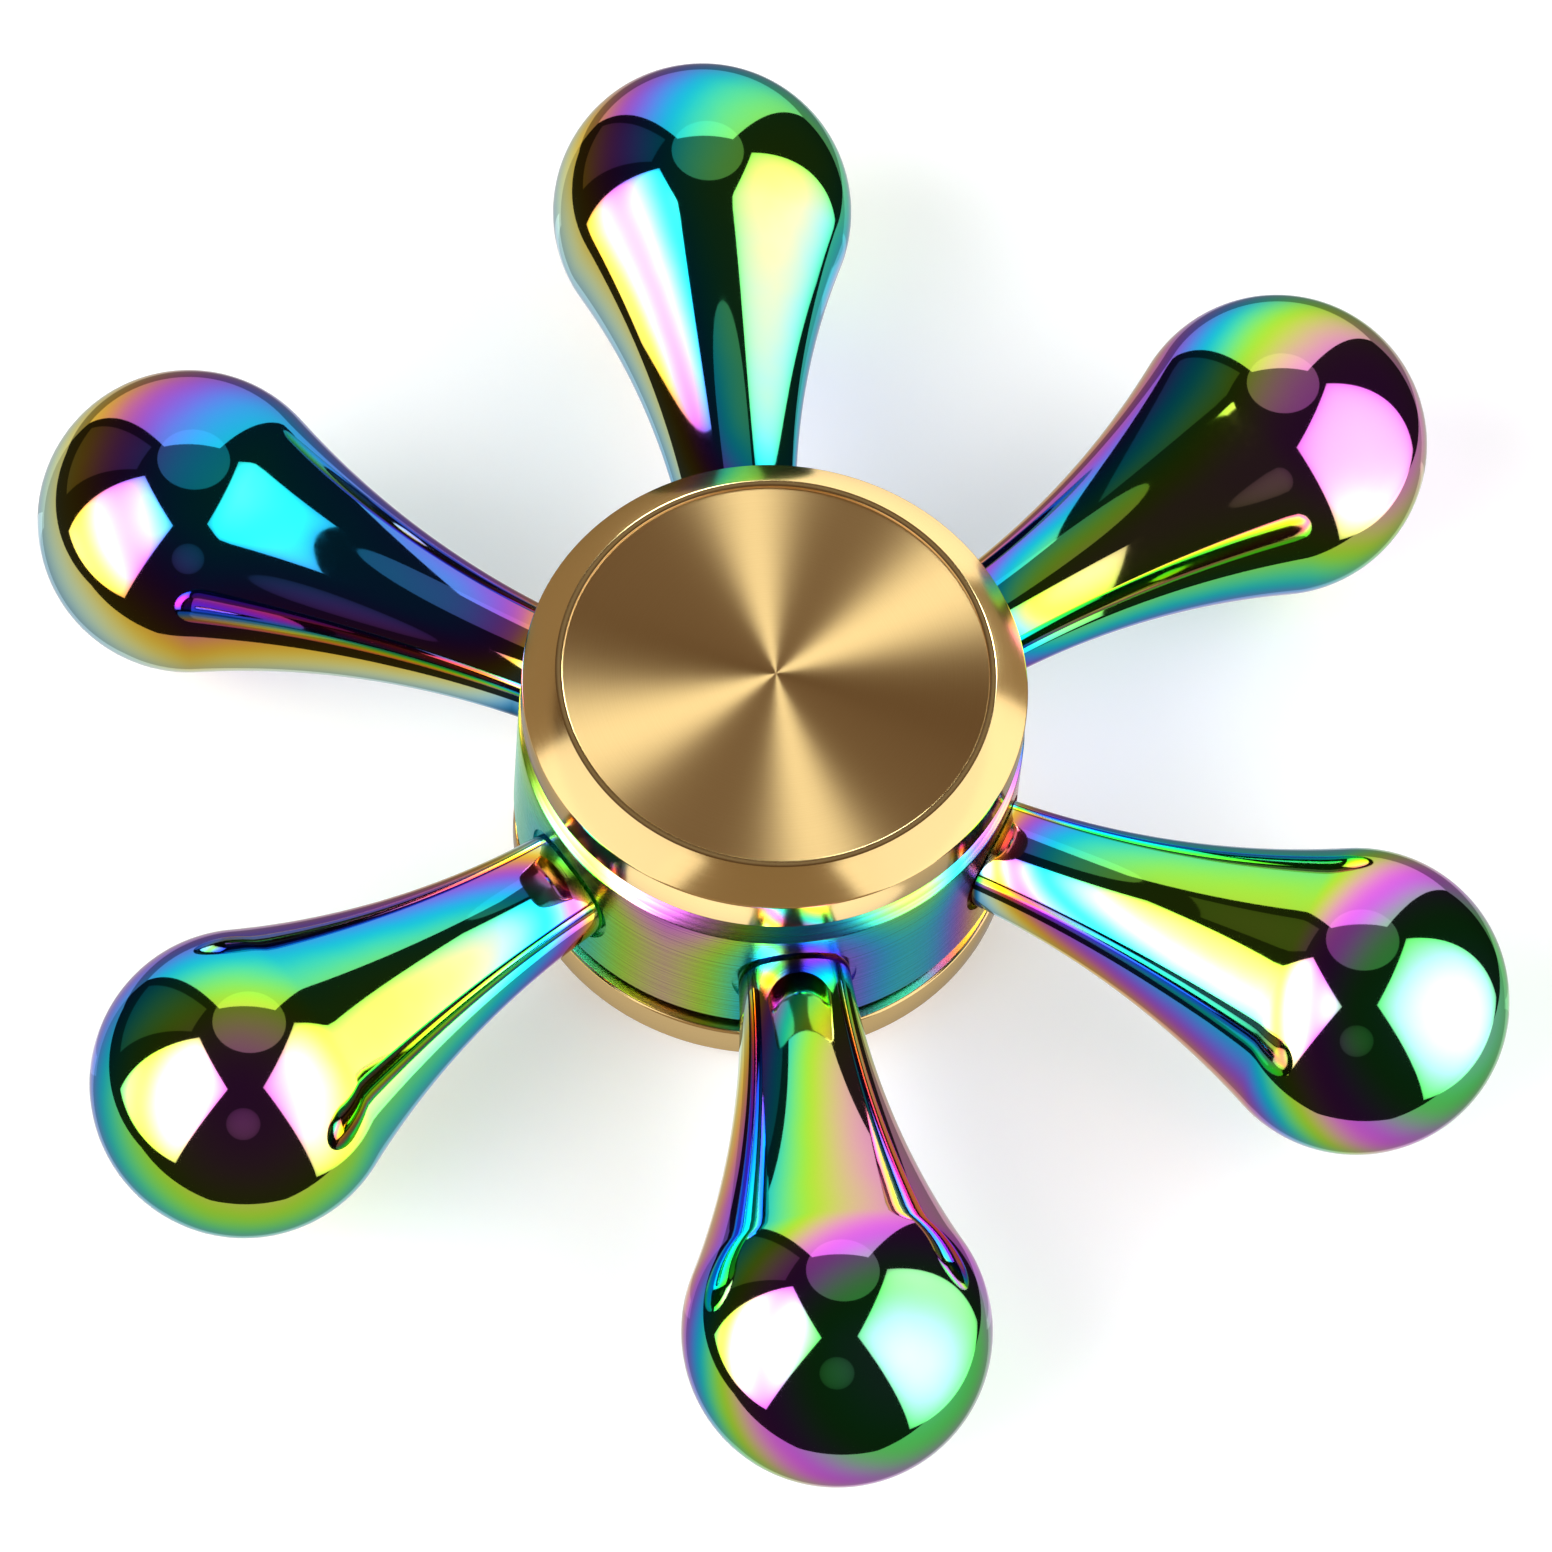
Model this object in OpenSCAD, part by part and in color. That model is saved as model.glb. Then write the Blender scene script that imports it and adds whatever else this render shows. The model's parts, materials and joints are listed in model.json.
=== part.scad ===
// Hand spinner with six teardrop arms. A metal hub ring carries the screwed-in arms and turns
// on a small ball bearing, between two round finger caps that are screwed to each other.
// Frame: origin at the centre of the bearing, +Z up the spin axis, +X along drop arm 1.

/* [Drop arms] */
// Distance from the spin axis to the centre of a drop's round head
drop_reach = 28.25; // [27:0.25:33]
// Diameter of a drop's round head
drop_d = 13.5; // [11:0.1:14]
// Diameter of a drop's neck at its thinnest
neck_d = 4.84; // [4.4:0.02:5.1]
// Radius of the long hollow curve between the neck and the head
flare_r = 38.9; // [34:0.1:44]
// Major diameter of the threaded shank at an arm's foot
shank_d = 4; // [3:0.1:4]
// Length of the threaded shank
shank_len = 3.3; // [2.5:0.1:3.4]

/* [Hub ring] */
// Outside diameter
hub_d = 22.3; // [22.2:0.1:25]
// Height
hub_h = 8.8; // [8.2:0.1:10]
// Bevel on the upper and lower rims
hub_bevel = 0.7; // [0.3:0.1:0.8]
// Diameter of the flat seat under each arm
seat_d = 5.5; // [5.5:0.1:6.2]
// Depth of the flat seat, from the ring's outside
seat_depth = 0.45; // [0.4:0.05:0.55]
// Height of the lip under the bearing
lip_h = 0.9; // [0.6:0.1:1.2]

/* [Finger caps] */
// Outside diameter
cap_d = 22.2; // [20:0.1:24]
// Gap between a cap and the hub ring
cap_gap = 0.65; // [0.4:0.05:1]
// Height of the straight side
cap_side_h = 1.8; // [1.2:0.1:2.6]
// Height of the bevelled ring above the side
cap_bevel_h = 1.15; // [0.6:0.05:1.6]
// Width of the bevelled ring, seen from above
cap_bevel_w = 1.45; // [0.6:0.05:2]
// Width of the flat rim round the turned disc
cap_rim_w = 0.3; // [0.2:0.05:1]
// Depth of the turned disc below the rim
disc_depth = 0.12; // [0.05:0.01:0.3]
// Major diameter of the screw that joins the caps
cap_screw_d = 4; // [3:0.1:4]

/* [Bearing, quarter inch bore] */
// Outside diameter
bearing_d = 12.7; // [12.5:0.05:12.8]
// Bore diameter
bearing_bore = 6.35; // [6.2:0.05:6.4]
// Width
bearing_w = 4.762; // [4.7:0.002:4.9]
// Ball diameter
ball_d = 1.588; // [1.5:0.002:1.6]

/* [Hidden] */
$fn = 96;
overrun = 0.01;                // how far a cutter runs past the face that it opens
running_room = 0.02;           // gap between parts that slide or screw into each other

// Arms: the hollow curve is a circle that touches the neck and just bites into the round head,
// so that the two arcs cross cleanly.
arm_count = 6;
arm_colours = ["mediumturquoise", "mediumorchid", "mediumseagreen", "violet", "yellowgreen", "orchid"];
drop_r = drop_d / 2;
hub_r = hub_d / 2;
seat_s = hub_r - seat_depth;                // distance of the flat seats from the spin axis
flare_bite = 0.0003;
flare_span = flare_r + drop_r - flare_bite; // between the centres of the flare and the head
flare_off = neck_d / 2 + flare_r;           // flare circle's centre: distance off the arm's axis,
flare_s = drop_reach - sqrt(pow(flare_span, 2) - pow(flare_off, 2)); // and along it
join_s = drop_reach + (flare_s - drop_reach) * drop_r / flare_span;  // where flare meets head
join_r = flare_off * drop_r / flare_span;
foot_bevel = 0.12;
foot_r = flare_off - sqrt(pow(flare_r, 2) - pow(seat_s - flare_s, 2));
shank_r = shank_d / 2;
shank_spare = 0.3;                          // empty end of a blind hole, past the shank
thread_pitch = 0.7;
thread_depth = 0.35;
thread_relief = 0.2;                        // plain neck between the thread and the shoulder

// Bearing
bearing_r = bearing_d / 2;
bore_r = bearing_bore / 2;
half_w = bearing_w / 2;
pitch_r = (bearing_r + bore_r) / 2;
ball_r = ball_d / 2;
ball_count = 10;
groove_r = ball_r + running_room;
land_half_gap = 0.48;
outer_land_r = pitch_r + land_half_gap;
inner_land_r = pitch_r - land_half_gap;
race_bevel = 0.2;
pocket_r = bearing_r - 0.73;                // pocket in the outer race for a shield
pocket_depth = 0.62;
shield_t = 0.2;
shield_clear = 0.16;                        // from the shield to the inner race
wire_r = 0.14;
snap_opening = 34;                          // degrees left open in a snap ring
cage_half_t = 0.24;
cage_low = -1.15;
cage_high = 0.35;
cage_pocket_r = ball_r + 0.03;

// Hub
hub_top = hub_h / 2;
lip_r = pocket_r + 0.1;
relief_r = bearing_r + 0.25;
relief_step = 0.2;

// Caps
cap_r = cap_d / 2;
cap_under = hub_top + cap_gap;              // underside of the upper cap's plate
cap_shoulder = cap_under + cap_side_h;
cap_top = cap_shoulder + cap_bevel_h;
rim_r = cap_r - cap_bevel_w;
disc_r = rim_r - cap_rim_w;
cap_edge_break = 0.15;
boss_r = inner_land_r - 0.25;               // the boss stands on the inner race only
boss_root_r = 4.9;
boss_root_h = 0.55;
sleeve_r = bore_r - running_room;
sleeve_end = half_w - 0.35;
screw_r = cap_screw_d / 2;
screw_end = -half_w - 0.4;
screw_spare = 0.5;

// Half outline of a rod with thread rings, from its tip at y = tip to a shoulder at y = root.
module threaded_outline(r, tip, root) {
    core_r = r - thread_depth;
    start = tip + 0.1;
    turns = floor((root - thread_relief - start) / thread_pitch);
    ring = [[0.05, core_r], [0.45, r], [0.55, r], [0.95, core_r]]; // one turn: share of pitch, radius
    polygon(concat(
        [[0, tip], [core_r, tip]],
        [for (i = [0 : turns - 1], step = ring) [step[1], start + (i + step[0]) * thread_pitch]],
        [[core_r, root + thread_relief], [0, root + thread_relief]]));
}

// Half outline of a drop: x is the distance off its axis, y the distance from the spin axis.
module drop_outline() {
    bevel_low = foot_r - foot_bevel - overrun;
    intersection() {
        translate([0, drop_reach]) circle(r = drop_r);
        translate([0, drop_reach - drop_r]) square(2 * drop_r);
    }
    difference() {
        translate([0, seat_s]) square([join_r, join_s - seat_s]);
        translate([flare_off, flare_s]) circle(r = flare_r, $fn = 720);
        translate([bevel_low, seat_s - overrun]) polygon([[0, 0], [1, 0], [1, 1]]);
    }
}

module drop_arm(number) {
    color(arm_colours[number - 1])
    rotate([0, 90, 360 / arm_count * (number - 1)]) {
        rotate_extrude() drop_outline();
        rotate_extrude() threaded_outline(shank_r, seat_s - shank_len, seat_s);
    }
}

// Ring that carries the arms and the bearing.
module hub_ring() {
    color("darkturquoise")
    difference() {
        rotate_extrude()
            polygon([
                [lip_r, -half_w - lip_h], [relief_r, -half_w - lip_h - relief_step],
                [relief_r, -hub_top], [hub_r - hub_bevel, -hub_top], [hub_r, -hub_top + hub_bevel],
                [hub_r, hub_top - hub_bevel], [hub_r - hub_bevel, hub_top],
                [relief_r, hub_top], [relief_r, half_w + relief_step], [bearing_r, half_w],
                [bearing_r, -half_w], [lip_r, -half_w]]);
        for (i = [0 : arm_count - 1]) rotate([0, 90, 360 / arm_count * i]) {
            translate([0, 0, seat_s]) cylinder(d = seat_d, h = 1);
            translate([0, 0, seat_s - shank_len - shank_spare])
                cylinder(r = shank_r + running_room, h = shank_len + shank_spare + overrun);
        }
    }
}

// Half outline of a cap's plate and boss, as it sits above the hub.
module cap_outline() {
    polygon([
        [0, half_w], [boss_r, half_w], [boss_r, cap_under - boss_root_h],
        [boss_root_r, cap_under - boss_root_h], [boss_root_r, cap_under],
        [cap_r - cap_edge_break, cap_under], [cap_r, cap_under + cap_edge_break],
        [cap_r, cap_shoulder], [rim_r, cap_top], [disc_r, cap_top],
        [disc_r, cap_top - disc_depth], [0, cap_top - disc_depth]]);
}

// Cap with the screw.
module upper_cap() {
    color("gold") {
        rotate_extrude() cap_outline();
        rotate_extrude() threaded_outline(screw_r, screw_end, half_w);
    }
}

// Cap with the sleeve that centres the inner race and takes the screw.
module lower_cap() {
    color("gold")
    difference() {
        union() {
            mirror([0, 0, 1]) rotate_extrude() cap_outline();
            translate([0, 0, -half_w - overrun]) cylinder(r = sleeve_r, h = half_w + sleeve_end + overrun);
        }
        translate([0, 0, screw_end - screw_spare])
            cylinder(r = screw_r + running_room, h = sleeve_end - screw_end + screw_spare + overrun);
    }
}

// Ring-shaped groove that the balls run in.
module ball_groove() {
    rotate_extrude() translate([pitch_r, 0]) circle(r = groove_r);
}

module outer_race() {
    color("silver")
    difference() {
        rotate_extrude()
            polygon([
                [outer_land_r, pocket_depth - half_w], [pocket_r, pocket_depth - half_w],
                [pocket_r, -half_w], [bearing_r - race_bevel, -half_w],
                [bearing_r, race_bevel - half_w], [bearing_r, half_w - race_bevel],
                [bearing_r - race_bevel, half_w], [pocket_r, half_w],
                [pocket_r, half_w - pocket_depth], [outer_land_r, half_w - pocket_depth]]);
        ball_groove();
    }
}

module inner_race() {
    color("silver")
    difference() {
        rotate_extrude()
            polygon([
                [bore_r, race_bevel - half_w], [bore_r + race_bevel, -half_w],
                [inner_land_r, -half_w], [inner_land_r, half_w],
                [bore_r + race_bevel, half_w], [bore_r, half_w - race_bevel]]);
        ball_groove();
    }
}

// Puts its children at the place of one ball.
module at_ball(number) {
    rotate(360 / ball_count * (number - 0.5)) translate([pitch_r, 0, 0]) children();
}

// Crown cage: a ring with an open round pocket for each ball.
module ball_cage() {
    color("goldenrod")
    difference() {
        rotate_extrude()
            translate([pitch_r - cage_half_t, cage_low]) square([2 * cage_half_t, cage_high - cage_low]);
        for (number = [1 : ball_count]) at_ball(number) sphere(r = cage_pocket_r);
    }
}

module ball(number) {
    color("gainsboro") at_ball(number) sphere(r = ball_r);
}

// Thin ring that lies in the outer race's pocket and clears the inner race.
module shield() {
    inner_r = inner_land_r + shield_clear;
    rotate_extrude()
        translate([inner_r, half_w - pocket_depth])
            square([pocket_r - running_room - inner_r, shield_t]);
}

module upper_shield() { color("lightsteelblue") shield(); }

module lower_shield() { color("lightsteelblue") mirror([0, 0, 1]) shield(); }

// Open wire ring that keeps a shield in its pocket.
module snap_ring() {
    rotate(snap_opening / 2)
    rotate_extrude(angle = 360 - snap_opening)
        translate([pocket_r - wire_r, half_w - pocket_depth + shield_t + wire_r]) circle(r = wire_r);
}

module upper_snap_ring() { color("gray") snap_ring(); }

module lower_snap_ring() { color("gray") mirror([0, 0, 1]) snap_ring(); }

hub_ring();
drop_arm(1);  // drop_arm_1
drop_arm(2);  // drop_arm_2
drop_arm(3);  // drop_arm_3
drop_arm(4);  // drop_arm_4
drop_arm(5);  // drop_arm_5
drop_arm(6);  // drop_arm_6
upper_cap();
lower_cap();
outer_race();
inner_race();
ball_cage();
ball(1);  // ball_01
ball(2);  // ball_02
ball(3);  // ball_03
ball(4);  // ball_04
ball(5);  // ball_05
ball(6);  // ball_06
ball(7);  // ball_07
ball(8);  // ball_08
ball(9);  // ball_09
ball(10);  // ball_10
upper_shield();
lower_shield();
upper_snap_ring();
lower_snap_ring();
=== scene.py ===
import json
import math

import bmesh
import bpy
from mathutils import Matrix, Vector

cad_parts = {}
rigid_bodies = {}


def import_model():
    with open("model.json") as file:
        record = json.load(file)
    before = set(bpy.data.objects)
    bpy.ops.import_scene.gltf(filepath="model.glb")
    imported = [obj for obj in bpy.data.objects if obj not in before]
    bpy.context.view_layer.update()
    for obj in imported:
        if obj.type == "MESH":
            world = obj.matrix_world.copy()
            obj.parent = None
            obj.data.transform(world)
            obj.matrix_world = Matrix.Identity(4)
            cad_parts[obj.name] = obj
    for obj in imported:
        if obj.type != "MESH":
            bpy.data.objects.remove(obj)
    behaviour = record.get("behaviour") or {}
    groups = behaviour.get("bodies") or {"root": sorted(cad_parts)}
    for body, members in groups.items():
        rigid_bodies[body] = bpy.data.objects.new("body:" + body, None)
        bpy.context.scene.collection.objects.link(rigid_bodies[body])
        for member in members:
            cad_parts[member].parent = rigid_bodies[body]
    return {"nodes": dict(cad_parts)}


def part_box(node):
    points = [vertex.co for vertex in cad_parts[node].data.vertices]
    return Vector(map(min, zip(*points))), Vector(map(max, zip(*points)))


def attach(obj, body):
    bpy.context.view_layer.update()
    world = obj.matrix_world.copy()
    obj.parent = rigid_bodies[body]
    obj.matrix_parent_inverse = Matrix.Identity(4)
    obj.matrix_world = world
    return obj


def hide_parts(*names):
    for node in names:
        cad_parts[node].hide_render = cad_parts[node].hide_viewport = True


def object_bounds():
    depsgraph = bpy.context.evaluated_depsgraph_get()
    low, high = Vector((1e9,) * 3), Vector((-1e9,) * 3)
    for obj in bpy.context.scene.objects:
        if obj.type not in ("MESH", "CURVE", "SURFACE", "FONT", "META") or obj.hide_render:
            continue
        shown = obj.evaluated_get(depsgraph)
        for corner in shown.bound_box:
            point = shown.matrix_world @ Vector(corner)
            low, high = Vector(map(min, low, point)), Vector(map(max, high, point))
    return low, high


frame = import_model()
cad_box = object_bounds()

# Six-arm hand spinner: mirror-polished drops and a turned hub ring under one rainbow film, between
# two brass finger caps. Lengths are in metres; +Z is the spin axis and +X lies along arm 1.
MM = 0.001
ARM_COUNT = 6


# ---- The maker's sizes -------------------------------------------------------------------------
# Arms
drop_tip, _, drop_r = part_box("drop_arm_1")[1]
shank_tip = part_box("drop_arm_1")[0][0]
drop_reach = drop_tip - drop_r
shank_len = 3.3 * MM
seat_s = shank_tip + shank_len                  # the arms stand on seats this far from the spin axis
neck_r = 2.42 * MM
flare_r = 38.9 * MM                             # long hollow curve between the neck and the head
flare_off = neck_r + flare_r
flare_s = drop_reach - math.sqrt((flare_r + drop_r) ** 2 - flare_off ** 2)
foot_break = 0.12 * MM
thread_r = 2.0 * MM
thread_core_r = 1.65 * MM
thread_pitch = 0.7 * MM
running_room = 0.02 * MM

# Hub ring
hub_r, _, hub_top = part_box("hub_ring")[1]
hub_bevel = 0.7 * MM
seat_r = 2.75 * MM
shank_spare = 0.3 * MM
edge_break = 0.07 * MM                          # the small round that tumbling leaves on an edge

# Bearing
bearing_r, _, half_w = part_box("outer_race")[1]
bore_r = 3.175 * MM
lip_r = bearing_r - 0.63 * MM
lip_low = -half_w - 0.9 * MM
relief_r = bearing_r + 0.25 * MM

# Caps
cap_r, _, cap_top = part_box("upper_cap")[1]
cap_under = hub_top + 0.65 * MM
cap_shoulder = cap_top - 1.15 * MM
rim_r = cap_r - 1.45 * MM
disc_r = rim_r - 0.3 * MM
disc_z = cap_top - 0.12 * MM
boss_r = 4.03 * MM
boss_root_r = 4.9 * MM
boss_root_z = cap_under - 0.55 * MM
screw_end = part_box("upper_cap")[0][2]
sleeve_r = bore_r - running_room
sleeve_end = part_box("lower_cap")[1][2]


# ---- Directions round the object ---------------------------------------------------------------
VIEW_BEARING = math.radians(19.21)
VIEW_HEIGHT = math.radians(61.364)
VIEW_ROLL = math.radians(5.367)
VIEW_DISTANCE = 594.57 * MM
VIEW_ASIDE = 0.349 * MM                         # the view's middle lies this far right of the spin axis
VIEW_BELOW = 0.730 * MM                         # and this far below the object's middle
VIEW_LENS = 311.91                              # focal length in mm, on a sensor 36 mm wide
FRONT = Vector((math.sin(VIEW_BEARING), -math.cos(VIEW_BEARING), 0))
RIGHT = Vector((math.cos(VIEW_BEARING), math.sin(VIEW_BEARING), 0))


def towards(bearing, height, distance=1.0):
    """A point in this direction: bearing in degrees from the front, right-handed, and height above level."""
    turn = math.radians(bearing)
    rise = math.radians(height)
    level = FRONT * math.cos(turn) + RIGHT * math.sin(turn)
    return (level * math.cos(rise) + Vector((0, 0, math.sin(rise)))) * distance


# ---- Shader kit --------------------------------------------------------------------------------
EDGE_TINT = (0.6, 0.6, 0.6)                     # metals seen at a flat angle are this much less bright


class Value:
    """A shader socket that takes part in plain sums."""

    def __init__(self, recipe, socket):
        self.recipe = recipe
        self.socket = socket

    def maths(self, operation, *others):
        return self.recipe.node("ShaderNodeMath", {"operation": operation},
                                dict(enumerate((self, *others))))

    def __add__(self, other):
        return self.maths("ADD", other)

    def __sub__(self, other):
        return self.maths("SUBTRACT", other)

    def __rsub__(self, other):
        return (self * -1) + other

    def __mul__(self, other):
        return self.maths("MULTIPLY", other)

    def __truediv__(self, other):
        return self.maths("DIVIDE", other)

    def __pow__(self, other):
        return self.maths("POWER", other)

    __radd__ = __add__
    __rmul__ = __mul__

    def cosine(self):
        return self.maths("COSINE")

    def at_least(self, other):
        return self.maths("MAXIMUM", other)

    def at_most(self, other):
        return self.maths("MINIMUM", other)


class Recipe:
    """One material or world, built node by node."""

    def __init__(self, name, owners=bpy.data.materials):
        self.owner = owners.new(name)
        self.owner.use_nodes = True
        self.tree = self.owner.node_tree
        self.tree.nodes.clear()

    def node(self, kind, settings=None, inputs=None, output=0):
        made = self.tree.nodes.new(kind)
        for key, value in (settings or {}).items():
            setattr(made, key, value)
        for key, value in (inputs or {}).items():
            self.feed(made.inputs[key], value)
        return Value(self, made.outputs[output])

    def feed(self, socket, value):
        if isinstance(value, Value):
            self.tree.links.new(value.socket, socket)
        elif isinstance(value, tuple) and len(value) == 3 and socket.type == "RGBA":
            socket.default_value = (*value, 1)
        else:
            socket.default_value = value

    def place(self):
        """Object coordinates in millimetres."""
        raw = self.node("ShaderNodeTexCoord", output="Object")
        return self.node("ShaderNodeVectorMath", {"operation": "SCALE"}, {0: raw, "Scale": 1 / MM})

    def split(self, vector):
        parts = self.node("ShaderNodeSeparateXYZ", inputs={0: vector})
        outputs = parts.socket.node.outputs
        return [Value(self, outputs[n]) for n in range(3)]

    def lathe_place(self, vector):
        """Distance from the spin axis, and height."""
        x, y, z = self.split(vector)
        return (x * x + y * y) ** 0.5, z

    def noise(self, vector, scale, detail=3.0, roughness=0.5):
        return self.node("ShaderNodeTexNoise", None,
                         {"Vector": vector, "Scale": scale, "Detail": detail, "Roughness": roughness})

    def line_noise(self, along, scale, detail=3.0):
        """Noise that changes along one value only, for lathe and grinding lines."""
        return self.node("ShaderNodeTexNoise", {"noise_dimensions": "1D"},
                         {"W": along, "Scale": scale, "Detail": detail, "Roughness": 0.6})

    def mix(self, share, first, second):
        return self.node("ShaderNodeMix", {"data_type": "RGBA"}, {0: share, 6: first, 7: second}, 2)

    def bump(self, height, strength, distance):
        return self.node("ShaderNodeBump", None,
                         {"Height": height, "Strength": strength, "Distance": distance})

    def metal(self, colour, roughness, normal, anisotropic=0.0):
        return self.done(self.node("ShaderNodeBsdfPrincipled", None, {
            "Base Color": colour, "Metallic": 1.0, "Roughness": roughness, "Normal": normal,
            "Anisotropic": anisotropic, "Specular Tint": EDGE_TINT}))

    def done(self, surface, output="ShaderNodeOutputMaterial"):
        end = self.tree.nodes.new(output)
        self.tree.links.new(surface.socket, end.inputs["Surface"])
        return self.owner


# ---- Modelling kit -----------------------------------------------------------------------------
SAME_PLACE = 0.0001 * MM                        # points nearer to each other than this are one point


def deselect():
    bpy.ops.object.select_all(action="DESELECT")


def pick(piece):
    """Makes this the only selected object, and the active one."""
    deselect()
    piece.select_set(True)
    bpy.context.view_layer.objects.active = piece


def start_edit(piece):
    pick(piece)
    bpy.ops.object.mode_set(mode="EDIT")


def end_edit():
    bpy.ops.object.mode_set(mode="OBJECT")


def pick_points(piece, wanted):
    """In edit mode, selects the vertices whose place passes the test."""
    mesh = bmesh.from_edit_mesh(piece.data)
    bpy.ops.mesh.select_mode(type="VERT")
    for vertex in mesh.verts:
        vertex.select_set(wanted(vertex.co))
    mesh.select_flush(True)
    bmesh.update_edit_mesh(piece.data)


def arc(centre, radius, start, end, steps):
    """Points of an arc in the half outline's plane; angles in radians."""
    angles = [start + (end - start) * n / steps for n in range(steps + 1)]
    return [(centre[0] + radius * math.cos(a), centre[1] + radius * math.sin(a)) for a in angles]


def draw_outline(name, outline):
    """A chain of edges through these (x, z) points, pulled out one after another."""
    deselect()
    bpy.ops.mesh.primitive_plane_add(size=MM, location=(0, 0, 0))
    piece = bpy.context.object
    piece.name = name
    piece.data.name = name
    start_edit(piece)
    bpy.ops.mesh.merge(type="CENTER")
    x, z = outline[0][:2]
    bpy.ops.transform.translate(value=(x, 0, z))
    for point in outline[1:]:
        step = (point[0] - x, 0, point[1] - z)
        bpy.ops.mesh.extrude_region_move(TRANSFORM_OT_translate={"value": step})
        x, z = point[:2]
    return piece


def soften_corners(piece, outline, steps=3):
    """Rounds the outline's corners that carry an edge radius as their third number."""
    for size in sorted({point[2] for point in outline if len(point) > 2}):
        corners = [Vector((p[0], 0, p[1])) for p in outline if len(p) > 2 and p[2] == size]
        pick_points(piece, lambda co: any((co - corner).length < SAME_PLACE for corner in corners))
        bpy.ops.mesh.bevel(offset_type="OFFSET", offset=size, segments=steps, affect="VERTICES")


def turned(name, outline, axis="Z", steps=192):
    """A lathe-turned piece: the half outline, spun a full turn round the axis."""
    piece = draw_outline(name, outline)
    soften_corners(piece, outline)
    bpy.ops.mesh.select_all(action="SELECT")
    around = {"X": (1, 0, 0), "Z": (0, 0, 1)}[axis]
    bpy.ops.mesh.spin(steps=steps, angle=2 * math.pi, center=(0, 0, 0), axis=around)
    bpy.ops.mesh.select_all(action="SELECT")
    bpy.ops.mesh.remove_doubles(threshold=SAME_PLACE)
    bpy.ops.mesh.normals_make_consistent(inside=False)
    end_edit()
    return piece


def smooth(piece, angle, weighted=False):
    pick(piece)
    bpy.ops.object.shade_smooth_by_angle(angle=math.radians(angle))
    if weighted:
        settle = piece.modifiers.new("face weighted shading", "WEIGHTED_NORMAL")
        settle.keep_sharp = True
        bpy.ops.object.modifier_apply(modifier=settle.name)


def turned_copy(piece, name, angle):
    """A copy with its own mesh, turned round the spin axis."""
    pick(piece)
    bpy.ops.object.duplicate(linked=False)
    copy = bpy.context.object
    copy.name = name
    copy.data.name = name
    copy.rotation_euler.z = angle
    bpy.ops.object.transform_apply(location=True, rotation=True, scale=True)
    return copy


def carve(piece, cutter):
    """Cuts the cutter's shape out of the piece, then removes the cutter."""
    pick(piece)
    cut = piece.modifiers.new("cut", "BOOLEAN")
    cut.operation = "DIFFERENCE"
    cut.solver = "EXACT"
    cut.object = cutter
    bpy.ops.object.modifier_apply(modifier=cut.name)
    bpy.data.objects.remove(cutter)


def thread_outline(tip, root):
    """Half outline of thread rings, from the tip towards the root."""
    lead_in = 0.1 * MM
    relief = 0.2 * MM
    turns = int((root - relief - tip - lead_in) / thread_pitch + 1e-6)
    flank = [(0.05, thread_core_r), (0.45, thread_r), (0.55, thread_r), (0.95, thread_core_r)]
    points = [(tip + lead_in + (turn + share) * thread_pitch, radius)
              for turn in range(turns) for share, radius in flank]
    return [(tip, 0), (tip, thread_core_r), *points]


# ---- Rainbow film ------------------------------------------------------------------------------
# The film is thickest on faces turned to where it came from and thins towards the edge of each
# part. Optical thickness is in nanometres; it is kept on the mesh as an attribute called "coat".
COAT_FROM = towards(0, math.degrees(VIEW_HEIGHT))
COAT_OVER = COAT_FROM.cross(RIGHT)
EDGE_LOSS = 0.35
EDGE_POWER = 0.7
EDGE_SOFTNESS = 0.03
ARM_MIDDLE = 20 * MM                            # from the spin axis
CM = 10 * MM
FOOT_LOSS = 0.45                                # the hub shades the foot of each arm
FOOT_SHADE_LEN = 1.6 * MM
ARM_COATS = {  # middle, gain per cm along the arm, and its curve, gain to the right, gain away
    1: (1400, 260, -70, 470, 0),
    2: (1200, 70, 120, 180, 10),
    3: (1015, 30, 40, 245, 120),
    4: (885, 20, 90, 300, 80),
    5: (1230, 140, -60, 50, -80),
    6: (1460, 210, -50, 350, -90),
}


def arm_thickness(vertex, arm_direction, numbers):
    middle, along, curve, right, away = numbers
    reach = vertex.co.dot(arm_direction)
    s = (reach - ARM_MIDDLE) / CM
    facing = math.hypot(vertex.normal.dot(COAT_FROM), EDGE_SOFTNESS)
    edge = max(0.0, 1 - facing) ** EDGE_POWER
    foot = min(math.exp(-(reach - seat_s) / FOOT_SHADE_LEN), 1)
    thickness = (middle + along * s + curve * s * s) * (1 - EDGE_LOSS * edge) * (1 - FOOT_LOSS * foot)
    return thickness + right * vertex.normal.dot(RIGHT) + away * vertex.normal.dot(COAT_OVER)


HUB_COATS = {  # middle of each span between two arms, and its loss in the shade of the arms
    -150: (1010, 0.15),
    -90: (1205, 0.13),
    -30: (965, 0.37),
    30: (900, 0.3),
    90: (1100, 0.2),
    150: (1200, 0.2),
}
HUB_SPAN = 360 // ARM_COUNT
HUB_RIM_GAIN = 70                               # at this height above the middle of the ring
HUB_RIM_HEIGHT = 3 * MM


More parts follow.
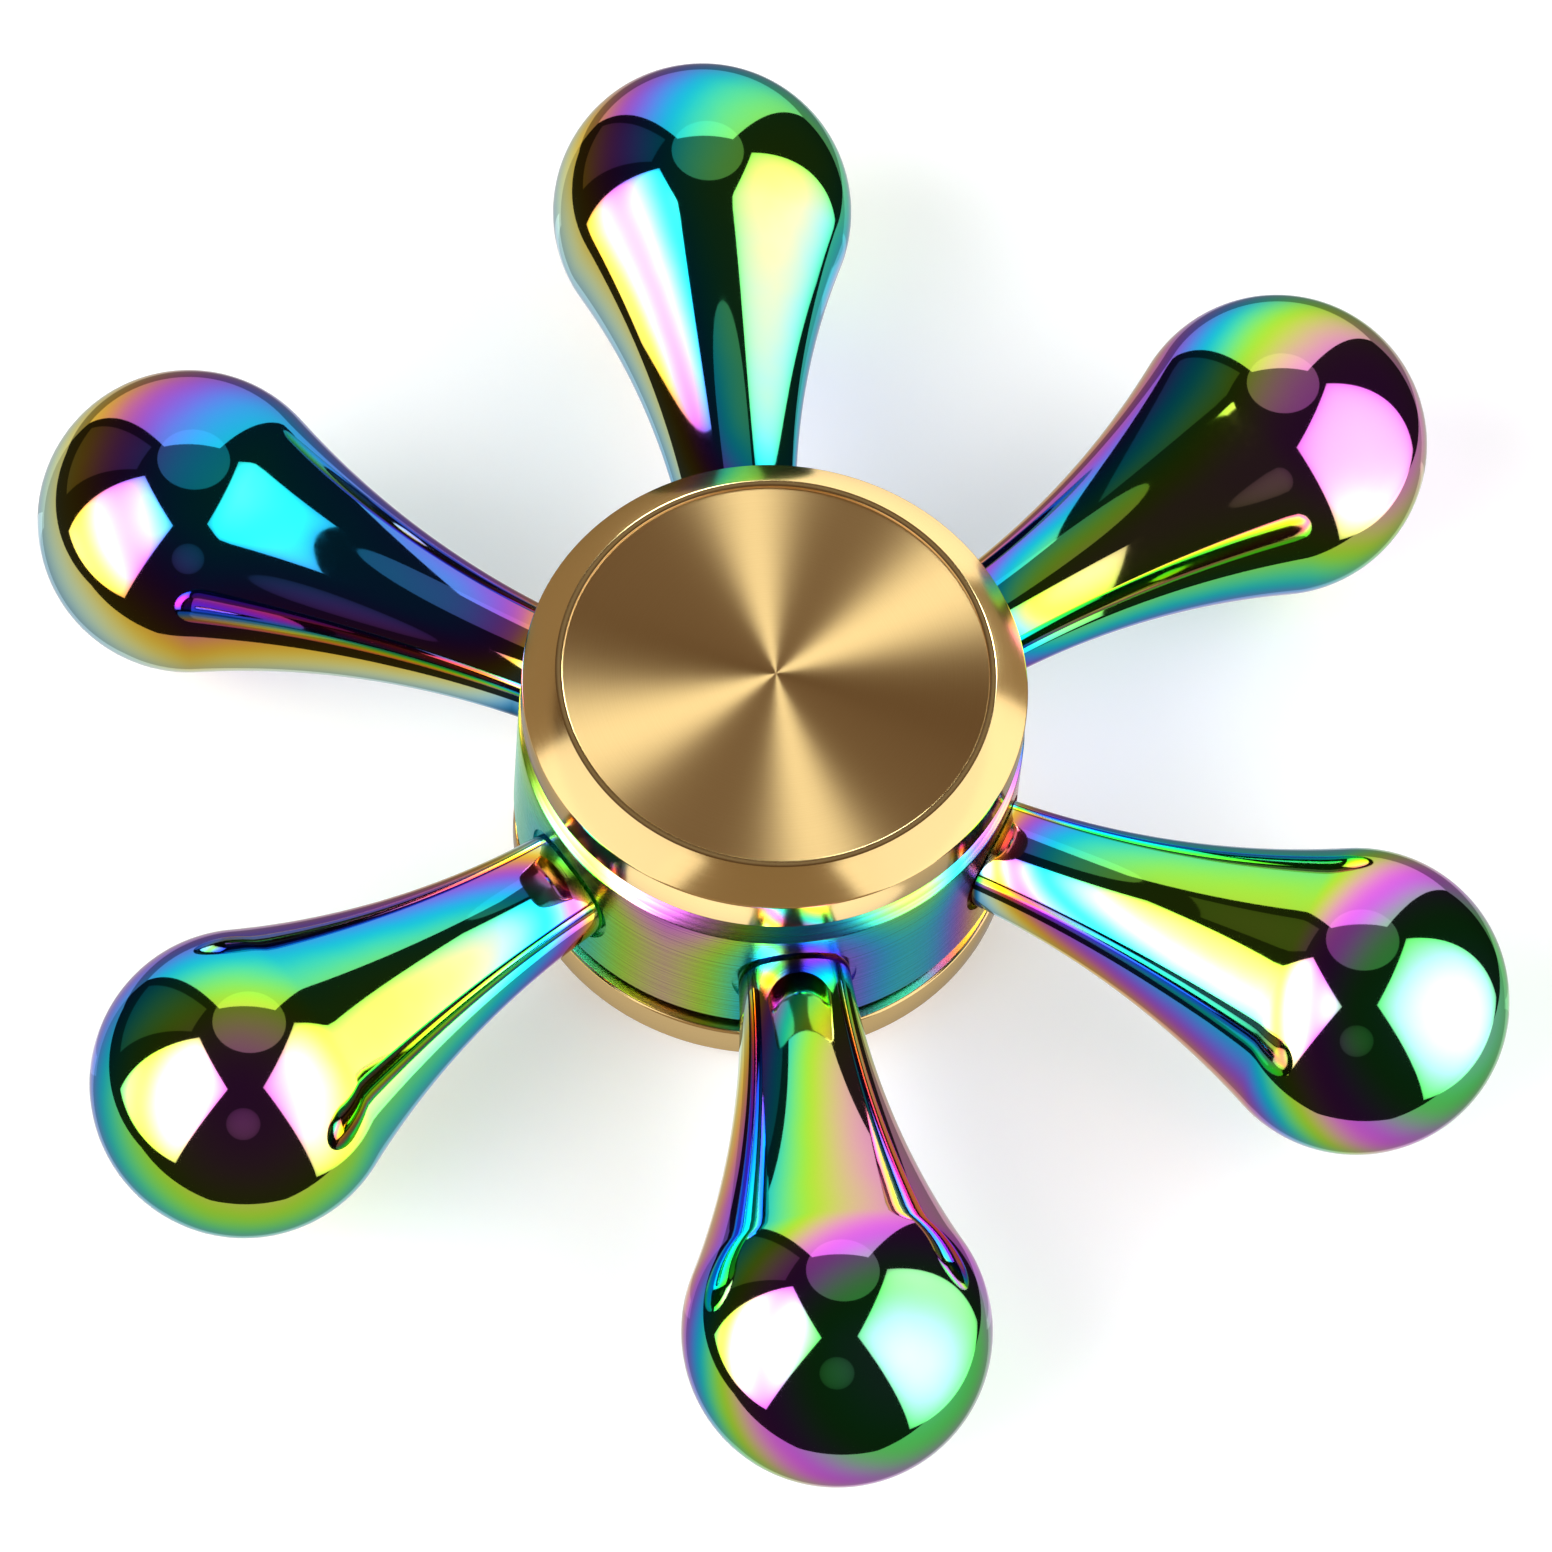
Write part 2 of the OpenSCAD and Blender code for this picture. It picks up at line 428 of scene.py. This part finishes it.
def hub_thickness(vertex):
    """The ring's film is thin in the shade of each arm and thick near the upper rim."""
    bearing = math.degrees(math.atan2(vertex.co.y, vertex.co.x))
    first = min(HUB_COATS)
    before = (bearing - first) // HUB_SPAN * HUB_SPAN + first
    part = (bearing - before) / HUB_SPAN
    coats = [HUB_COATS[(place + 180) % 360 - 180] for place in (before, before + HUB_SPAN)]
    middle, loss = [a + (b - a) * part for a, b in zip(*coats)]
    shade = (1 + math.cos(math.radians(bearing) * ARM_COUNT)) / 2
    return middle * (1 - loss * shade) + HUB_RIM_GAIN * (max(0, vertex.co.z) / HUB_RIM_HEIGHT) ** 2


def lay_coat(piece, thickness):
    layer = piece.data.attributes.new("coat", "FLOAT", "POINT")
    layer.data.foreach_set("value", [thickness(vertex) for vertex in piece.data.vertices])


FILM_WAVES = (640, 540, 450)                    # red, green and blue, in nanometres
FADE_LENGTH = 1900                              # the colours pale from 0.6 of this thickness on
LEAST_POLISHED = (0.015, 0.12, 0.06)            # share of each wave that comes back at its darkest
LEAST_TURNED = (0.04, 0.15, 0.08)


def film_colour(recipe, thickness, least):
    """Colour that a clear film of this optical thickness sends back; thicker films give paler ones."""
    purity = (1.6 - thickness / FADE_LENGTH).at_most(1)
    bands = [((thickness * (2 * math.pi / wave)).cosine() * purity + 1) * ((1 - low) / 2) + low
             for wave, low in zip(FILM_WAVES, least)]
    return recipe.node("ShaderNodeCombineColor", None, dict(enumerate(bands)))


def rainbow_mirror():
    """Cast zinc drops, polished to a mirror before they were coated."""
    recipe = Recipe("rainbow film on polished zinc")
    place = recipe.place()
    thickness = recipe.node("ShaderNodeAttribute", {"attribute_name": "coat"}, output="Fac")
    cloud = recipe.noise(place, 0.35, 2)
    haze = recipe.noise(place, 2.4, 4)
    colour = film_colour(recipe, thickness + (cloud - 0.5) * 24, LEAST_POLISHED)
    polish = recipe.noise(place, 0.9, 2)
    wave = recipe.bump(polish, 0.05, 0.01 * MM)
    return recipe.metal(colour, haze * 0.05 + 0.015, wave)


def rainbow_turned():
    """The hub ring: turned, not polished, so that the film shows fine rings."""
    recipe = Recipe("rainbow film on turned zinc")
    place = recipe.place()
    radius, height = recipe.lathe_place(place)
    lines = recipe.line_noise(height + radius * 0.6, 9, 4)
    thickness = recipe.node("ShaderNodeAttribute", {"attribute_name": "coat"}, output="Fac")
    film = film_colour(recipe, thickness + (lines - 0.5) * 60, LEAST_TURNED)
    colour = recipe.mix((lines - 0.42) * 3, film, recipe.mix(0.45, film, (0.02, 0.02, 0.02)))
    rings = recipe.bump(lines, 1.0, 0.01 * MM)
    return recipe.metal(colour, lines * 0.16 + 0.16, rings)


# ---- Other metals ------------------------------------------------------------------------------
BRASS = (0.95, 0.70, 0.33)


def polished_brass():
    """Cap sides and bevels: fine turned, then polished and lacquered."""
    recipe = Recipe("polished brass")
    place = recipe.place()
    radius, height = recipe.lathe_place(place)
    lines = recipe.line_noise(height + radius * 0.5, 14, 3)
    tone = recipe.noise(place, 0.5, 3)
    colour = recipe.mix(tone, BRASS, (0.92, 0.68, 0.30))
    return recipe.metal(colour, lines * 0.06 + 0.13, recipe.bump(lines, 0.12, 0.002 * MM))


def spun_brass():
    """Cap discs: faced on the lathe with a fine even feed, so that light fans out in sectors."""
    recipe = Recipe("spun brass")
    radius, _ = recipe.lathe_place(recipe.place())
    lines = recipe.line_noise(radius, 24, 4)
    colour = recipe.mix(lines, (0.93, 0.63, 0.28), (0.86, 0.54, 0.21))
    return recipe.metal(colour, lines * 0.05 + 0.27, recipe.bump(lines, 0.1, 0.002 * MM), 0.95)


def ground_steel():
    """Bearing races: ground all round, with faint grinding lines."""
    recipe = Recipe("ground bearing steel")
    place = recipe.place()
    radius, height = recipe.lathe_place(place)
    lines = recipe.line_noise(radius + height * 0.7, 22, 4)
    stain = recipe.noise(place, 1.1, 4)
    colour = recipe.mix(stain, (0.52, 0.53, 0.54), (0.62, 0.62, 0.61))
    return recipe.metal(colour, lines * 0.12 + 0.14, recipe.bump(lines, 0.25, 0.002 * MM))


def lapped_steel():
    """Bearing balls: lapped to a mirror, with a thin trace of oil."""
    recipe = Recipe("lapped ball steel")
    place = recipe.place()
    smear = recipe.noise(place, 3.5, 4)
    colour = recipe.mix(smear, (0.60, 0.60, 0.60), (0.66, 0.65, 0.62))
    return recipe.metal(colour, smear * 0.07 + 0.03, recipe.bump(smear, 0.05, 0.001 * MM))


def stamped_bronze():
    """Ball cage: stamped bronze, a little matt and darker in patches."""
    recipe = Recipe("stamped bronze")
    place = recipe.place()
    grain = recipe.noise(place, 9, 4)
    patch = recipe.noise(place, 1.2, 3)
    colour = recipe.mix(patch, (0.56, 0.33, 0.13), (0.66, 0.42, 0.18))
    return recipe.metal(colour, grain * 0.2 + 0.24, recipe.bump(grain, 0.2, 0.004 * MM))


def pressed_steel():
    """Bearing shields: bright rolled sheet with a straight grain."""
    recipe = Recipe("pressed shield steel")
    place = recipe.place()
    _, y, _ = recipe.split(place)
    grain = recipe.line_noise(y, 11, 5)
    speck = recipe.noise(place, 6, 3)
    colour = recipe.mix(grain, (0.44, 0.45, 0.46), (0.54, 0.54, 0.54))
    return recipe.metal(colour, grain * 0.14 + speck * 0.05 + 0.2, recipe.bump(grain, 0.2, 0.003 * MM))


def spring_steel():
    """Snap rings: drawn spring wire, dark from tempering."""
    recipe = Recipe("tempered spring wire")
    place = recipe.place()
    scale = recipe.noise(place, 7, 4)
    colour = recipe.mix(scale, (0.10, 0.10, 0.11), (0.24, 0.22, 0.20))
    return recipe.metal(colour, scale * 0.2 + 0.28, recipe.bump(scale, 0.2, 0.004 * MM))


# ---- Arms --------------------------------------------------------------------------------------
def arm_outline():
    foot_r = flare_off - math.sqrt(flare_r ** 2 - (seat_s + foot_break - flare_s) ** 2)
    flare_start = math.atan2(foot_r - flare_off, seat_s + foot_break - flare_s)
    flare_end = math.atan2(-flare_off, drop_reach - flare_s)
    head_start = math.atan2(flare_off, flare_s - drop_reach)
    flare = arc((flare_s, flare_off), flare_r, flare_start, flare_end, 30)
    head = arc((drop_reach, 0), drop_r, head_start, 0, 60)
    return [*thread_outline(shank_tip, seat_s), (seat_s, thread_core_r),
            (seat_s, foot_r - foot_break), *flare[:-1], *head[:-1], (drop_tip, 0)]


def make_arms():
    model = turned("drop arm", arm_outline(), axis="X", steps=144)
    smooth(model, 30)
    model.data.materials.append(rainbow_mirror())
    for number in range(1, ARM_COUNT + 1):
        angle = 2 * math.pi / ARM_COUNT * (number - 1)
        arm = turned_copy(model, f"polished_drop_{number}", angle)
        direction = Vector((math.cos(angle), math.sin(angle), 0))
        lay_coat(arm, lambda vertex: arm_thickness(vertex, direction, ARM_COATS[number]))
        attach(arm, "rotor")
        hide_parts(f"drop_arm_{number}")
    bpy.data.objects.remove(model)


# ---- Hub ring ----------------------------------------------------------------------------------
def seat_cutter(angle):
    """The cutter of one arm's seat and threaded hole."""
    hole_r = thread_r + running_room
    bottom = shank_tip - shank_spare
    clear = seat_s + MM
    outline = [(bottom, 0), (bottom, hole_r), (seat_s, hole_r), (seat_s, seat_r), (clear, seat_r), (clear, 0)]
    cutter = turned("seat cutter", outline, axis="X", steps=96)
    cutter.rotation_euler.z = angle
    bpy.context.view_layer.update()
    return cutter


def make_hub():
    bevel_r = hub_r - hub_bevel
    side = hub_top - hub_bevel
    soft = edge_break
    chamfer = 0.2 * MM
    wall_steps = 9
    wall = [(hub_r, side * step / wall_steps) for step in range(1 - wall_steps, wall_steps)]
    outline = [
        (lip_r, -half_w), (lip_r, lip_low), (relief_r, lip_low - chamfer),
        (relief_r, -hub_top, soft), (bevel_r, -hub_top, soft), (hub_r, -side, soft), *wall,
        (hub_r, side, soft), (bevel_r, hub_top, soft), (relief_r, hub_top, soft),
        (relief_r, half_w + chamfer), (bearing_r, half_w), (bearing_r, -half_w), (lip_r, -half_w)]
    hub = turned("turned_hub_ring", outline, steps=288)
    for number in range(ARM_COUNT):
        carve(hub, seat_cutter(2 * math.pi / ARM_COUNT * number))
    smooth(hub, 32, weighted=True)
    lay_coat(hub, hub_thickness)
    hub.data.materials.append(rainbow_turned())
    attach(hub, "rotor")
    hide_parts("hub_ring")


# ---- Caps --------------------------------------------------------------------------------------
def cap_plate_outline():
    """Half outline of a cap's plate, from the root of its boss to the middle of its turned disc."""
    fine = 0.03 * MM
    dimple_r = 0.12 * MM
    return [
        (boss_r, boss_root_z), (boss_root_r, boss_root_z), (boss_root_r, cap_under),
        (cap_r, cap_under, 0.15 * MM), (cap_r, cap_shoulder, edge_break),
        (rim_r, cap_top, fine), (disc_r, cap_top, fine), (disc_r, disc_z, fine),
        (dimple_r, disc_z), (0, disc_z - 0.05 * MM)]


def finish_cap(cap, node, metals):
    smooth(cap, 32, weighted=True)
    for metal in metals:
        cap.data.materials.append(metal)
    for face in cap.data.polygons:
        middle = face.center
        if abs(middle.z) > disc_z - 0.1 * MM and math.hypot(middle.x, middle.y) < disc_r:
            face.material_index = 1
    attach(cap, "caps")
    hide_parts(node)


def make_caps():
    metals = [polished_brass(), spun_brass()]
    screw = [(radius, height) for height, radius in thread_outline(screw_end, half_w)]
    upper = turned("turned_upper_cap", [
        *screw, (thread_core_r, half_w), (boss_r, half_w), *cap_plate_outline()], steps=256)
    finish_cap(upper, "upper_cap", metals)

    hole_r = thread_r + running_room
    hole_end = screw_end - 0.5 * MM
    plate = [(point[0], -point[1], *point[2:]) for point in cap_plate_outline()]
    lower = turned("turned_lower_cap", [
        (0, hole_end), (hole_r, hole_end), (hole_r, sleeve_end), (sleeve_r, sleeve_end),
        (sleeve_r, -half_w), (boss_r, -half_w), *plate], steps=256)
    finish_cap(lower, "lower_cap", metals)


# ---- Bearing -----------------------------------------------------------------------------------
def finish_bearing():
    finishes = [
        (ground_steel(), ["outer_race", "inner_race"]),
        (stamped_bronze(), ["ball_cage"]),
        (lapped_steel(), [f"ball_{number:02d}" for number in range(1, 11)]),
        (pressed_steel(), ["upper_shield", "lower_shield"]),
        (spring_steel(), ["upper_snap_ring", "lower_snap_ring"]),
    ]
    for metal, nodes in finishes:
        for node in nodes:
            for slot in frame["nodes"][node].material_slots:
                slot.material = metal


# ---- Studio ------------------------------------------------------------------------------------
# The caps have lights of their own, and the other lights pass them by: light linking sets which.
def cap_list(name, state, ending="_cap"):
    """A list for light linking that takes in only the caps, or everything but the caps."""
    group = bpy.data.collections.new(name)
    for piece in bpy.data.objects:
        if piece.name.startswith("turned_") and piece.name.endswith(ending):
            group.objects.link(piece)
    for entry in group.collection_objects:
        entry.light_linking.link_state = state
    return group


def glowing(name, strength, edge_share=1.0, colour=(1, 1, 1), round_edge=False):
    """Light from a cloth panel, brightest at its middle; rays that it doesn't light pass through."""
    recipe = Recipe(name)
    u, v, _ = recipe.split(recipe.node("ShaderNodeTexCoord", output="UV"))
    if round_edge:
        across = u - 0.5
        over = v - 0.5
        crown = (1 - (across * across + over * over) * 4).at_least(0) ** 0.5
    else:
        crown = ((u * (1 - u)) * (v * (1 - v)) * 16).at_least(0) ** 0.5
    power = crown * (strength * (1 - edge_share)) + strength * edge_share
    glow = recipe.node("ShaderNodeEmission", None, {"Color": colour, "Strength": power})
    clear = recipe.node("ShaderNodeBsdfTransparent")
    return recipe.done(recipe.node("ShaderNodeAddShader", None, {0: glow, 1: clear}))


def hang(sheet, name, material, lights):
    """Finishes a panel: it is seen only in reflections, and lights what its list says."""
    sheet.name = name
    sheet.data.materials.append(material)
    sheet.visible_camera = False
    sheet.visible_shadow = False
    sheet.light_linking.receiver_collection = lights


def panel(name, corners, distance, material, lights):
    """A panel whose corners (low left, low right, top left, top right) lie in these directions."""
    deselect()
    bpy.ops.mesh.primitive_plane_add(size=1)
    sheet = bpy.context.object
    for vertex, corner in zip(sheet.data.vertices, corners):
        vertex.co = towards(*corner, distance)
    start_edit(sheet)
    bpy.ops.mesh.select_all(action="SELECT")
    bpy.ops.mesh.subdivide(number_cuts=6)
    end_edit()
    hang(sheet, name, material, lights)


def round_panel(name, bearing, height, spread, distance, material, lights):
    """A round panel whose middle lies in this direction; spread is its half angle in degrees."""
    deselect()
    bpy.ops.mesh.primitive_circle_add(vertices=48, radius=1, fill_type="TRIFAN")
    sheet = bpy.context.object
    middle = towards(bearing, height)
    side = middle.cross(Vector((0, 0, 1))).normalized()
    over = side.cross(middle)
    reach = math.tan(math.radians(spread))
    for vertex in sheet.data.vertices:
        vertex.co = (middle + (side * vertex.co.x + over * vertex.co.y) * reach) * distance
    hang(sheet, name, material, lights)


def light_studio():
    left_box = [(-88, -15), (-37, -15), (-100, 55), (-19, 55)]
    right_box = [(48, -29), (114, -29), (28, 57), (130, 50)]
    others = cap_list("all but the caps", "EXCLUDE")
    far = 0.9
    panel("left softbox", left_box, far, glowing("left softbox cloth", 6.5, 0.12), others)
    panel("right softbox", right_box, far, glowing("right softbox cloth", 3.6, 0.2), others)
    panel("backdrop", [(-140, -20), (-208, -20), (-143, 54), (-207, 54)], far * 1.3,
          glowing("backdrop paper", 0.85, 0.9), others)
    panel("backdrop foot", [(-118, -46), (-235, -46), (-140, -20), (-208, -20)], far * 1.3,
          glowing("backdrop foot paper", 0.32, 0.9), others)
    panel("sweep", [(-100, -76), (-240, -76), (-125, -46), (-232, -46)], far,
          glowing("sweep paper", 0.5, 0.8), others)
    panel("side wall", [(-136, -12), (-105, -12), (-134, 48), (-107, 48)], far * 1.4,
          glowing("side wall", 0.06, 0.8), others)
    round_panel("ceiling bounce", 180, 70, 25, far * 1.4, glowing("ceiling bounce", 0.18, 0.9), others)
    round_panel("work lamp", 3, 32, 12, far, glowing("work lamp", 0.07, 0.3, round_edge=True), others)

    caps = cap_list("only the caps", "INCLUDE")
    near = 0.8
    cool = (0.84, 0.96, 1)
    warm = (1, 0.8, 0.55)
    left_low_box = left_box[:2] + [(-98, 46), (-22, 46)]
    right_low_box = right_box[:2] + [(32, 46), (124, 42)]
    panel("cap left softbox", left_low_box, near, glowing("cap left cloth", 1.1, 0.9), caps)
    panel("cap right softbox", right_low_box, near, glowing("cap right cloth", 1.1, 0.9), caps)
    round_panel("cap low card", 0, -62, 32, near, glowing("cap low card", 0.8, 0.8),
                cap_list("only the upper cap", "INCLUDE", "upper_cap"))
    panel("cap front board", [(-36, 12), (42, 12), (-36, 50), (42, 50)], near,
          glowing("cap front board", 0.16, 0.9, warm), caps)
    panel("cap low backdrop", [(-172, -28), (-212, -28), (-172, 6), (-212, 6)], near,
          glowing("cap low backdrop", 1.2, 0.9), caps)
    panel("cap back strip", [(-169, 5), (-152, 5), (-177, 45), (-160, 45)], near,
          glowing("cap back strip", 12, 0.1, cool), caps)
    panel("cap side strip", [(128, 16), (146, 16), (130, 46), (150, 46)], near,
          glowing("cap side strip", 20, 0.1, cool), caps)
    round_panel("cap top lamp", 180, math.degrees(VIEW_HEIGHT), 6, near,
                glowing("cap top lamp", 0.14, 0.5), caps)
    deselect()
    bpy.ops.mesh.primitive_cylinder_add(vertices=96, radius=near, depth=0.8, end_fill_type="NOTHING",
                                        location=(0, 0, -0.06))
    bpy.ops.object.transform_apply(location=True)
    hang(bpy.context.object, "cap low wall", glowing("cap low wall", 0.2, 1.0, warm), caps)
    deselect()
    bpy.ops.mesh.primitive_ico_sphere_add(subdivisions=3, radius=1.6)
    hang(bpy.context.object, "cap fill", glowing("cap fill", 0.08, 1.0, (1, 0.55, 0.25)), caps)


def lay_card():
    """The pale card under the object, which only its reflections show."""
    deselect()
    depth = 0.8
    edges = [(-180, -46), (-130, -26), (-60, -25), (-15, -38), (30, -39), (60, -31), (100, -30),
             (120, -35), (180, -46)]
    count = 72
    bpy.ops.mesh.primitive_circle_add(vertices=count, radius=1, fill_type="TRIFAN")
    card = bpy.context.object
    rim = [vertex for vertex in card.data.vertices if vertex.co.length > 0.5]
    for number, vertex in enumerate(rim):
        bearing = -180 + 360 * number / count
        upper = next(n for n in range(1, len(edges)) if bearing <= edges[n][0])
        (b0, h0), (b1, h1) = edges[upper - 1], edges[upper]
        height = h0 + (h1 - h0) * (bearing - b0) / (b1 - b0)
        vertex.co = towards(bearing, height, depth / math.sin(math.radians(-height)))
    for vertex in card.data.vertices:
        vertex.co.z = -depth
    hang(card, "card", glowing("pale card", 0.5), None)
    card.visible_diffuse = False


def lay_floor():
    deselect()
    bpy.ops.mesh.primitive_circle_add(vertices=96, radius=4, fill_type="NGON", location=(0, 0, cad_box[0][2]))
    floor = bpy.context.object
    floor.name = "floor"
    recipe = Recipe("pale floor")
    matt = recipe.node("ShaderNodeBsdfDiffuse", None, {"Color": (0.76, 0.76, 0.76)})
    lit = recipe.node("ShaderNodeEmission", None, {"Color": (1, 1, 1), "Strength": 0.35})
    paper = recipe.node("ShaderNodeAddShader", None, {0: matt, 1: lit})
    clear = recipe.node("ShaderNodeBsdfTransparent")
    behind = recipe.node("ShaderNodeNewGeometry", output="Backfacing")
    surface = recipe.node("ShaderNodeMixShader", None, {0: behind, 1: paper, 2: clear})
    floor.data.materials.append(recipe.done(surface))
    floor.visible_glossy = False


def set_world():
    """White to the camera, nearly dark to everything else, so that only the panels light the metal."""
    to_camera = (0.97, 0.97, 0.97)
    to_object = (0.018, 0.018, 0.018)
    recipe = Recipe("studio", bpy.data.worlds)
    seen = recipe.node("ShaderNodeLightPath", output="Is Camera Ray")
    colour = recipe.mix(seen, to_object, to_camera)
    backdrop = recipe.node("ShaderNodeBackground", None, {"Color": colour, "Strength": 1.0})
    bpy.context.scene.world = recipe.done(backdrop, "ShaderNodeOutputWorld")


def set_camera():
    back = towards(0, math.degrees(VIEW_HEIGHT))
    up = back.cross(RIGHT)
    across = RIGHT * math.cos(VIEW_ROLL) + up * math.sin(VIEW_ROLL)
    upright = up * math.cos(VIEW_ROLL) - RIGHT * math.sin(VIEW_ROLL)
    spot = back * VIEW_DISTANCE + across * VIEW_ASIDE - upright * VIEW_BELOW
    data = bpy.data.cameras.new("camera")
    data.sensor_width = 36
    data.lens = VIEW_LENS
    data.clip_start = 0.01
    data.clip_end = 50
    camera = bpy.data.objects.new("camera", data)
    turn = Matrix((across, upright, back)).transposed().to_4x4()
    camera.matrix_world = Matrix.Translation(spot) @ turn
    bpy.context.scene.collection.objects.link(camera)
    bpy.context.scene.camera = camera


set_camera()
make_arms()
make_hub()
make_caps()
finish_bearing()
light_studio()
lay_card()
lay_floor()
set_world()
bpy.context.scene.view_settings.view_transform = "Standard"
